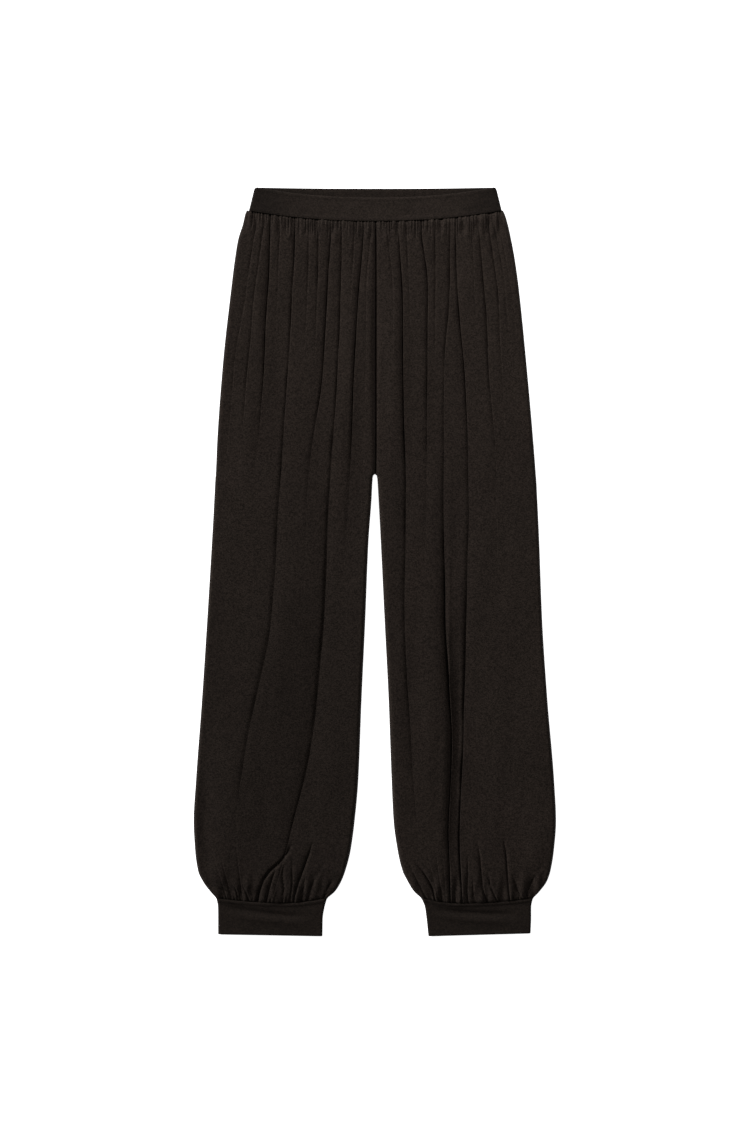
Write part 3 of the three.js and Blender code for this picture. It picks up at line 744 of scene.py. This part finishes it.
def ankle_cuff(side):
    sign = SIGN[side]
    rows = np.array(CUFFS[side][2], float)

    def levels(a):
        outer, inner, outer_down, inner_down = (smooth_line(CUFF_PLACES, column, a) for column in rows.T)
        left = np.minimum(sign * outer, sign * inner)
        right = np.maximum(sign * outer, sign * inner)
        to_seam = 1 - a / CUFF_HEIGHT

        def from_outer(across):
            return 1 - across if sign > 0 else across

        def straight(across):
            return outer_down + (inner_down - outer_down) * from_outer(across) + SEAM_EASE * to_seam

        def front(across):
            return straight(across) + to_seam * cuff_dip(side, from_outer(across))
        return left, right, front, straight

    def relief(x, a, share):
        dent = ridges(CUFF_DENTS, a - (DENT_START + DENT_SLANT * share))
        dent = dent * np.exp(-((share - DENT_MIDDLE) / DENT_HALF) ** 4)
        return ridges(CUFF_RIDGES, a) - dent + swells(CUFF_SWELL, x, a, LEG_SEED[side])

    outline = slab_outline(CUFF_HEIGHT, CUFF_CLOTH, top_round=0.6, hem_round=0.9)
    name = f"{side}_ankle_cuff"
    piece = cloth_loop(name, levels, CUFF_LIFT, outline, relief, np.zeros_like, flat_steps=150)
    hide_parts(f"cuff_{side}")
    return piece


# Finishes.
COLOUR_A, COLOUR_B, COLOUR_RESULT = 6, 7, 2  # the colour sockets of a Mix node
SMOOTH_STEP, STRAIGHT = "SMOOTHSTEP", "LINEAR"


def add_node(tree, kind, **inputs):
    node = tree.nodes.new(kind)
    for name, value in inputs.items():
        node.inputs[name.replace("_", " ")].default_value = value
    return node


def mapped(tree, value, kind, start, end, low, high):
    """Reads a value from start to end as one from low to high."""
    node = add_node(tree, "ShaderNodeMapRange", From_Min=start, From_Max=end, To_Min=low, To_Max=high)
    node.interpolation_type = kind
    tree.links.new(value, node.inputs["Value"])
    return node.outputs["Result"]


def multiplied(tree, colour, value):
    node = tree.nodes.new("ShaderNodeMix")
    node.data_type = "RGBA"
    node.blend_type = "MULTIPLY"
    node.inputs["Factor"].default_value = 1
    tree.links.new(colour, node.inputs[COLOUR_A])
    tree.links.new(value, node.inputs[COLOUR_B])
    return node.outputs[COLOUR_RESULT]


def jersey_grain():
    """The knit's fine pebbled grain, its heathered flecks and slow changes of shade."""
    group = bpy.data.node_groups.new("jersey grain", "ShaderNodeTree")
    face = group.interface
    face.new_socket(name="Pebble Size", in_out="INPUT", socket_type="NodeSocketFloat")
    face.new_socket(name="Fleck", in_out="OUTPUT", socket_type="NodeSocketFloat")
    face.new_socket(name="Shade", in_out="OUTPUT", socket_type="NodeSocketFloat")
    face.new_socket(name="Height", in_out="OUTPUT", socket_type="NodeSocketFloat")
    came = group.nodes.new("NodeGroupInput")
    went = group.nodes.new("NodeGroupOutput")
    where = group.nodes.new("ShaderNodeTexCoord")

    def noise(scale, detail, roughness):
        node = add_node(group, "ShaderNodeTexNoise", Scale=scale, Detail=detail, Roughness=roughness)
        group.links.new(where.outputs["Object"], node.inputs["Vector"])
        return node.outputs["Fac"]

    shade = noise(26, 3.0, 0.55)
    pebble = group.nodes.new("ShaderNodeTexVoronoi")
    group.links.new(where.outputs["Object"], pebble.inputs["Vector"])
    group.links.new(came.outputs["Pebble Size"], pebble.inputs["Scale"])
    tone = group.nodes.new("ShaderNodeSeparateColor")
    group.links.new(pebble.outputs["Color"], tone.inputs["Color"])
    blend = group.nodes.new("ShaderNodeMix")
    blend.inputs["Factor"].default_value = 0.45
    group.links.new(tone.outputs["Red"], blend.inputs["A"])
    group.links.new(noise(700, 3.0, 0.7), blend.inputs["B"])
    fleck = blend.outputs["Result"]
    fuzz = noise(1500, 2.0, 0.6)
    both = group.nodes.new("ShaderNodeMath")
    both.operation = "ADD"
    group.links.new(pebble.outputs["Distance"], both.inputs[0])
    group.links.new(fuzz, both.inputs[1])
    group.links.new(fleck, went.inputs["Fleck"])
    group.links.new(shade, went.inputs["Shade"])
    group.links.new(both.outputs["Value"], went.inputs["Height"])
    return group


def jersey(name, grain, tones, pebble, axis="X", shade_start=0.0, shade_end=1.0, depth=1.0):
    """Matt dark jersey of a dark and a light tone. Between two given places along one axis, both ways on X,
    painted shade darkens the colour, to depth times its strength."""
    material = bpy.data.materials.new(name)
    material.use_nodes = True
    tree = material.node_tree
    shader = tree.nodes["Principled BSDF"]
    shader.inputs["Roughness"].default_value = 0.92
    shader.inputs["Specular IOR Level"].default_value = 0.08
    shader.inputs["Sheen Weight"].default_value = 0.03
    shader.inputs["Sheen Roughness"].default_value = 0.6
    shader.inputs["Sheen Tint"].default_value = (0.55, 0.45, 0.4, 1)
    knit = tree.nodes.new("ShaderNodeGroup")
    knit.node_tree = grain
    knit.inputs["Pebble Size"].default_value = pebble
    ramp = tree.nodes.new("ShaderNodeValToRGB")
    for element, position, tone in zip(ramp.color_ramp.elements, (0.2, 0.8), tones):
        element.position = position
        element.color = (*tone, 1)
    tree.links.new(knit.outputs["Fleck"], ramp.inputs["Fac"])
    slow = mapped(tree, knit.outputs["Shade"], STRAIGHT, 0.3, 0.7, 0.95, 1.05)
    tinted = multiplied(tree, ramp.outputs["Color"], slow)
    place = tree.nodes.new("ShaderNodeTexCoord")
    axes = tree.nodes.new("ShaderNodeSeparateXYZ")
    tree.links.new(place.outputs["Object"], axes.inputs["Vector"])
    away = tree.nodes.new("ShaderNodeMath")
    away.operation = "ABSOLUTE" if axis == "X" else "ADD"
    tree.links.new(axes.outputs[axis], away.inputs[0])
    away.inputs[1].default_value = 0
    # Painted shade: the colour is darkened along the axis, standing in for shade from the light.
    painted_shade = mapped(tree, away.outputs["Value"], SMOOTH_STEP, shade_start, shade_end, 1, depth)
    tree.links.new(multiplied(tree, tinted, painted_shade), shader.inputs["Base Color"])
    bump = add_node(tree, "ShaderNodeBump", Strength=0.5, Distance=0.0003)
    tree.links.new(knit.outputs["Height"], bump.inputs["Height"])
    tree.links.new(bump.outputs["Normal"], shader.inputs["Normal"])
    return material


def set_finish(piece, material):
    piece.data.materials.clear()
    piece.data.materials.append(material)


# Camera, floor and light, in metres but for the camera's own sizes.
PHOTO_HEIGHT = 1125
MM_PER_PIXEL = 1.334
LENS = 85.0
FILM = 36.0
AIM = (0.0002, -0.0009)
FRAMED_LEVEL = 0.008  # the frame's size is taken at this height, on the front of the cloth
FLOOR_HALF = 40
FLOOR_DROP = 0.0004
camera_data = bpy.data.cameras.new("camera")
camera_data.sensor_fit = "VERTICAL"
camera_data.sensor_height = FILM
camera_data.lens = LENS
camera_data.clip_end = 30
camera = bpy.data.objects.new("camera", camera_data)
bpy.context.scene.collection.objects.link(camera)
view_height = PHOTO_HEIGHT * MM_PER_PIXEL * MM
camera.location = (*AIM, view_height * LENS / FILM + FRAMED_LEVEL)
bpy.context.scene.camera = camera

floor_mesh = bpy.data.meshes.new("floor")
floor_made = bmesh.new()
bmesh.ops.create_grid(floor_made, x_segments=1, y_segments=1, size=FLOOR_HALF)
floor_made.to_mesh(floor_mesh)
floor_made.free()
floor = bpy.data.objects.new("floor", floor_mesh)
floor.location = (0, 0, -FLOOR_DROP)
bpy.context.scene.collection.objects.link(floor)
floor.visible_diffuse = False  # it throws no light back on the cloth
white = bpy.data.materials.new("white floor")
white.use_nodes = True
white_shader = white.node_tree.nodes["Principled BSDF"]
white_shader.inputs["Base Color"].default_value = (0.9, 0.9, 0.9, 1)
white_shader.inputs["Roughness"].default_value = 0.9
white_shader.inputs["Emission Color"].default_value = (1, 1, 1, 1)
white_shader.inputs["Emission Strength"].default_value = 0.95
set_finish(floor, white)

world = bpy.data.worlds.new("studio")
bpy.context.scene.world = world
world.use_nodes = True
world.node_tree.nodes["Background"].inputs["Color"].default_value = (1, 1, 1, 1)
world.node_tree.nodes["Background"].inputs["Strength"].default_value = 0.2


def soft_light(name, place, size, watts):
    data = bpy.data.lights.new(name, "AREA")
    data.shape = "SQUARE"
    data.size = size
    data.energy = watts
    light = bpy.data.objects.new(name, data)
    light.location = place
    direction = -light.location.normalized()
    light.rotation_euler = direction.to_track_quat("-Z", "Y").to_euler()
    bpy.context.scene.collection.objects.link(light)


soft_light("window side", place=(-8.2, 4.4, 4.1), size=3.6, watts=1440)
soft_light("top side", place=(0.5, 1.1, 0.55), size=0.5, watts=6.6)
bpy.context.scene.view_settings.view_transform = "Standard"

# Each finish's dark and light tone, and its grain's pebbles to a metre.
LEG_TONES = ((0.0048, 0.0032, 0.0023), (0.0246, 0.0178, 0.0142))
BAND_TONES = ((0.0062, 0.0044, 0.0033), (0.0230, 0.0168, 0.0134))
CUFF_TONES = ((0.0042, 0.0029, 0.0022), (0.0166, 0.0120, 0.0094))
LEG_PEBBLES = 900
DOUBLED_PEBBLES = 1000
grain = jersey_grain()
leg_finish = {
    # The right leg's colour is darkened from mid-thigh to the hem: painted shade for the light falling off
    # down the leg.
    "right": jersey("right leg jersey with painted shade", grain, LEG_TONES, LEG_PEBBLES,
                    axis="Y", shade_start=0.12, shade_end=-0.2, depth=0.87),
    "left": jersey("left leg jersey", grain, LEG_TONES, LEG_PEBBLES),
}
# The waistband's colour is darkened towards both ends: painted shade where the band turns away from the
# light.
band_finish = jersey("band jersey with painted shade", grain, BAND_TONES, DOUBLED_PEBBLES, shade_start=0.085, shade_end=0.168, depth=0.5)
cuff_finish = jersey("cuff jersey", grain, CUFF_TONES, DOUBLED_PEBBLES)

for leg in ("right", "left"):
    set_finish(leg_panel(leg, True, *FRONT_STEPS[leg]), leg_finish[leg])
    set_finish(leg_panel(leg, False, *BACK_STEPS), leg_finish[leg])
    set_finish(ankle_cuff(leg), cuff_finish)
set_finish(waistband(), band_finish)
